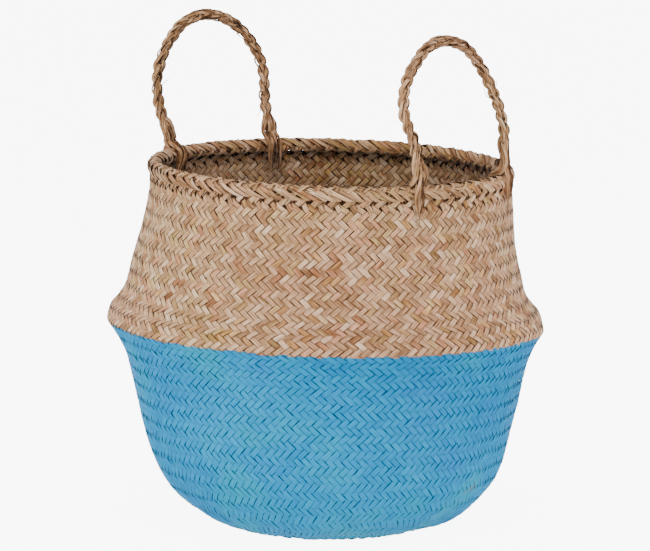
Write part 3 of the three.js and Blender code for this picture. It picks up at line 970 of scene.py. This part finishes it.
def leaf_material(name):
    """The leaf finish for one slot: warm dried leaf with lengthwise grain, or blue paint over it, with
    painted shade in the gaps along the strips' edges
    """
    title = f"{name}_leaf"
    material = bpy.data.materials.get(title)
    if material:
        return material
    material = bpy.data.materials.new(title)
    material.use_nodes = True
    tree = material.node_tree
    tree.nodes.clear()
    finish = settings("basket_finish")
    darkness = 0.475 if name in ("rim_plait", "handle_rope") else 0.415
    sheen = 0.06 if name == "painted_weave" else 0.2
    black, white = (0, 0, 0), (1, 1, 1)

    def grey(value):
        return (value,) * 3

    def node(kind, inputs=None, **values):
        made = tree.nodes.new(kind)
        for key, value in values.items():
            setattr(made, key, value)
        for key, value in (inputs or {}).items():
            if isinstance(value, bpy.types.NodeSocket):
                tree.links.new(value, made.inputs[key])
            else:
                made.inputs[key].default_value = value
        return made

    def maths(operation, *values, clamp=False):
        made = node("ShaderNodeMath", dict(enumerate(values)), operation=operation, use_clamp=clamp)
        return made.outputs[0]

    def times(first, second):
        return maths("MULTIPLY", first, second)

    def plus(first, second):
        return maths("ADD", first, second)

    def attribute(attribute_name):
        return node("ShaderNodeAttribute", attribute_name=attribute_name).outputs["Fac"]

    def noise(vector, scale, detail, dimensions="3D", **inputs):
        inputs = {"Vector": vector, "Scale": scale, "Detail": detail, **inputs}
        return node("ShaderNodeTexNoise", inputs, noise_dimensions=dimensions).outputs["Fac"]

    def ramp(factor, *stops, constant=False):
        made = node("ShaderNodeValToRGB", {"Fac": factor})
        made.color_ramp.interpolation = "CONSTANT" if constant else "LINEAR"
        while len(made.color_ramp.elements) < len(stops):
            made.color_ramp.elements.new(0.5)
        for element, (position, colour) in zip(made.color_ramp.elements, stops):
            element.position = position
        for element, (position, colour) in zip(made.color_ramp.elements, stops):
            element.color = (*colour, 1)
        return made.outputs["Color"]

    def mixed(factor, first, second, mode="MIX"):
        made = node("ShaderNodeMix", data_type="RGBA", blend_type=mode)
        for key, value in (("Factor_Float", factor), ("A_Color", first), ("B_Color", second)):
            socket = next(s for s in made.inputs if s.identifier == key)
            if isinstance(value, bpy.types.NodeSocket):
                tree.links.new(value, socket)
            elif key == "Factor_Float":
                socket.default_value = value
            else:
                socket.default_value = (*value, 1)
        return next(s for s in made.outputs if s.identifier == "Result_Color")

    # Grain along the leaf, stains, and patches over the whole basket
    grain = node("ShaderNodeUVMap", uv_map="Grain").outputs["UV"]
    stretched = node("ShaderNodeMapping", {"Vector": grain, "Scale": (60, 1100, 1)}).outputs["Vector"]
    streaks = noise(stretched, 1, 2, "2D", Roughness=0.55)
    blotched = node("ShaderNodeMapping", {"Vector": grain, "Scale": (120, 260, 1)}).outputs["Vector"]
    blotches = noise(blotched, 1, 2, "2D")
    place = node("ShaderNodeTexCoord").outputs["Object"]
    patches = noise(place, 16, 2)
    far_patches = noise(place, 7, 1)
    strip_tone, float_tone, height, edge_shade = (
        attribute(tone) for tone in ("strip_tone", "float_tone", "paint", "edge_shade"))

    # Paint up to a level line that is a little ragged
    paint = ramp(plus(height, times(blotches, 0.12)), (0.53, black), (0.59, white))

    # Dried leaf
    tone = plus(times(strip_tone, finish.strip_contrast), times(float_tone, finish.float_contrast))
    tone = plus(tone, times(streaks, finish.streak_contrast))
    tone = plus(tone, times(blotches, finish.blotch_contrast))
    tone = maths("SUBTRACT", tone, darkness, clamp=True)
    leaf = ramp(tone, (0.05, finish.leaf_shade), (0.35, finish.leaf_low), (0.6, finish.leaf_middle),
                (0.9, finish.leaf_light))
    pick = maths("FRACT", plus(times(float_tone, 7.3), times(strip_tone, 3.1)))
    tint = ramp(pick, (0, white), (0.72, finish.tint_pink), (0.84, finish.tint_olive),
                (0.93, finish.tint_gold), (0.985, finish.tint_rust), constant=True)
    leaf = mixed(times(ramp(patches, (0.3, grey(0.35)), (0.65, white)), 0.7), leaf, tint, "MULTIPLY")
    far_tint = ramp(far_patches, (0.35, (1.03, 0.98, 0.98)), (0.65, (0.98, 1.0, 0.93)))
    leaf = mixed(1.0, leaf, far_tint, "MULTIPLY")

    # Blue paint, greener and redder in patches, worn through in a few
    even_tone = plus(times(tone, 0.5), times(far_patches, 0.45))
    coat = ramp(even_tone, (0.15, finish.paint_low), (0.45, finish.paint_middle), (0.8, finish.paint_light))
    coat = mixed(ramp(patches, (0.52, black), (0.66, grey(0.5))), coat, finish.paint_teal)
    coat = mixed(ramp(patches, (0.3, grey(0.4)), (0.44, black)), coat, finish.paint_violet)
    worn = times(ramp(patches, (0.68, black), (0.74, grey(0.5))), ramp(blotches, (0.45, black), (0.6, white)))
    coat = mixed(worn, coat, leaf)
    colour = mixed(paint, leaf, coat)

    # Painted shade: a dark colour laid along the edges of the strips, where shade falls in the gaps between
    # them, broken here and there
    from_edge = maths("SUBTRACT", edge_shade, times(paint, 0.2))
    gap_shade_mask = ramp(from_edge, (0.06, black), (0.34, white))
    gap_shade_mask = times(gap_shade_mask, ramp(blotches, (0.4, grey(0.22)), (0.52, white)))
    colour = mixed(gap_shade_mask, colour, mixed(paint, finish.leaf_gap_shade, finish.paint_gap_shade))

    rough = plus(times(streaks, 0.25), 0.52)
    bump = node("ShaderNodeBump", {"Height": streaks, "Strength": 0.35, "Distance": 0.25 * MM})
    shader = node("ShaderNodeBsdfPrincipled", {
        "Base Color": colour, "Roughness": rough, "Normal": bump.outputs["Normal"], "Specular IOR Level": 0.1,
        "Sheen Weight": sheen, "Sheen Roughness": 0.35})
    output = node("ShaderNodeOutputMaterial", {"Surface": shader.outputs["BSDF"]})
    output.is_active_output = True
    return material


# Stage


class BASKET_OT_set_stage(bpy.types.Operator):
    """Sets the plain floor, the soft studio light and the camera"""

    bl_idname = "basket.set_stage"
    bl_label = "Set stage"

    def execute(self, context):
        stage = settings("basket_stage")
        back = Vector((
            math.sin(stage.azimuth) * math.cos(stage.elevation),
            -math.cos(stage.azimuth) * math.cos(stage.elevation), math.sin(stage.elevation)))
        right = Vector((math.cos(stage.azimuth), math.sin(stage.azimuth), 0))
        aim = Vector((0, 0, stage.aim_height)) - right * stage.aim_shift
        self.add_floor(stage)
        self.add_room(context, stage)
        self.add_lamps(back, right, aim)
        self.add_camera(context, stage, back, aim)
        return {"FINISHED"}

    def add_floor(self, stage):
        """A plain pale table top that glows to the camera and takes no part in the light"""
        bpy.ops.object.select_all(action="DESELECT")
        bpy.ops.mesh.primitive_plane_add(size=stage.floor_size, location=(0, 0, 0))
        floor = bpy.context.object
        floor.name = "studio_floor"
        finish = bpy.data.materials.new("studio_floor")
        finish.use_nodes = True
        shader = finish.node_tree.nodes["Principled BSDF"]
        shader.inputs["Base Color"].default_value = (*stage.floor_colour, 1)
        shader.inputs["Roughness"].default_value = 0.9
        shader.inputs["Emission Color"].default_value = (1, 1, 1, 1)
        shader.inputs["Emission Strength"].default_value = stage.floor_glow
        floor.data.materials.append(finish)
        floor.visible_diffuse = floor.visible_glossy = floor.visible_shadow = False

    def add_room(self, context, stage):
        """Even light from all sides, which the camera sees as bright as the floor"""
        world = bpy.data.worlds.new("studio")
        world.use_nodes = True
        tree = world.node_tree
        background = tree.nodes["Background"]
        background.inputs["Color"].default_value = (1, 1, 1, 1)
        seen = tree.nodes.new("ShaderNodeLightPath").outputs["Is Camera Ray"]
        strength = tree.nodes.new("ShaderNodeMapRange")
        strength.inputs["To Min"].default_value = stage.room_light
        strength.inputs["To Max"].default_value = stage.floor_glow
        tree.links.new(seen, strength.inputs["Value"])
        tree.links.new(strength.outputs["Result"], background.inputs["Strength"])
        context.scene.world = world

    def add_lamps(self, back, right, aim):
        """Broad low lamps that face the basket"""
        for name, forward, aside, up, power, width in LAMPS:
            place = aim + back * forward + right * aside + Vector((0, 0, up))
            bpy.ops.object.light_add(type="AREA", location=place)
            lamp = bpy.context.object
            lamp.name = f"studio_{name}_light"
            lamp.data.energy = power
            lamp.data.shape = "RECTANGLE"
            lamp.data.size = width
            lamp.data.size_y = width * 0.4
            lamp.rotation_euler = (aim - lamp.location).to_track_quat("-Z", "Y").to_euler()

    def add_camera(self, context, stage, back, aim):
        """The photograph's view"""
        bpy.ops.object.camera_add(location=aim + back * stage.distance)
        camera = bpy.context.object
        camera.name = "studio_camera"
        camera.rotation_euler = (-back).to_track_quat("-Z", "Y").to_euler()
        camera.data.sensor_width = 36
        camera.data.lens = camera.data.sensor_width * stage.distance / stage.view_width
        camera.data.clip_end = 100
        context.scene.camera = camera


class BASKET_PT_panel(bpy.types.Panel):
    """Lists the basket's settings and steps"""

    bl_label = "Market basket"
    bl_space_type = "VIEW_3D"
    bl_region_type = "UI"
    bl_category = "Basket"

    def draw(self, context):
        for name in SETTINGS:
            box = self.layout.box()
            group = getattr(context.scene, name)
            for key in group.__annotations__:
                box.prop(group, key)
        for step in STEPS:
            self.layout.operator(step.bl_idname)


SETTINGS = {
    "basket_body": BodySettings,
    "basket_rim": RimSettings,
    "basket_handles": HandleSettings,
    "basket_finish": FinishSettings,
    "basket_stage": StageSettings,
}
STEPS = (
    BASKET_OT_plait_base, BASKET_OT_weave_body, BASKET_OT_braid_rim, BASKET_OT_plait_handles,
    BASKET_OT_wind_lashing, BASKET_OT_set_stage,
)


def register():
    for made in (*SETTINGS.values(), *STEPS, BASKET_PT_panel):
        bpy.utils.register_class(made)
    for name, group in SETTINGS.items():
        setattr(bpy.types.Scene, name, PointerProperty(type=group))


def unregister():
    for name in SETTINGS:
        delattr(bpy.types.Scene, name)
    for made in reversed((*SETTINGS.values(), *STEPS, BASKET_PT_panel)):
        bpy.utils.unregister_class(made)


def main():
    register()
    for step in STEPS:
        area, verb = step.bl_idname.split(".")
        getattr(getattr(bpy.ops, area), verb)()


if __name__ == "__main__":
    main()
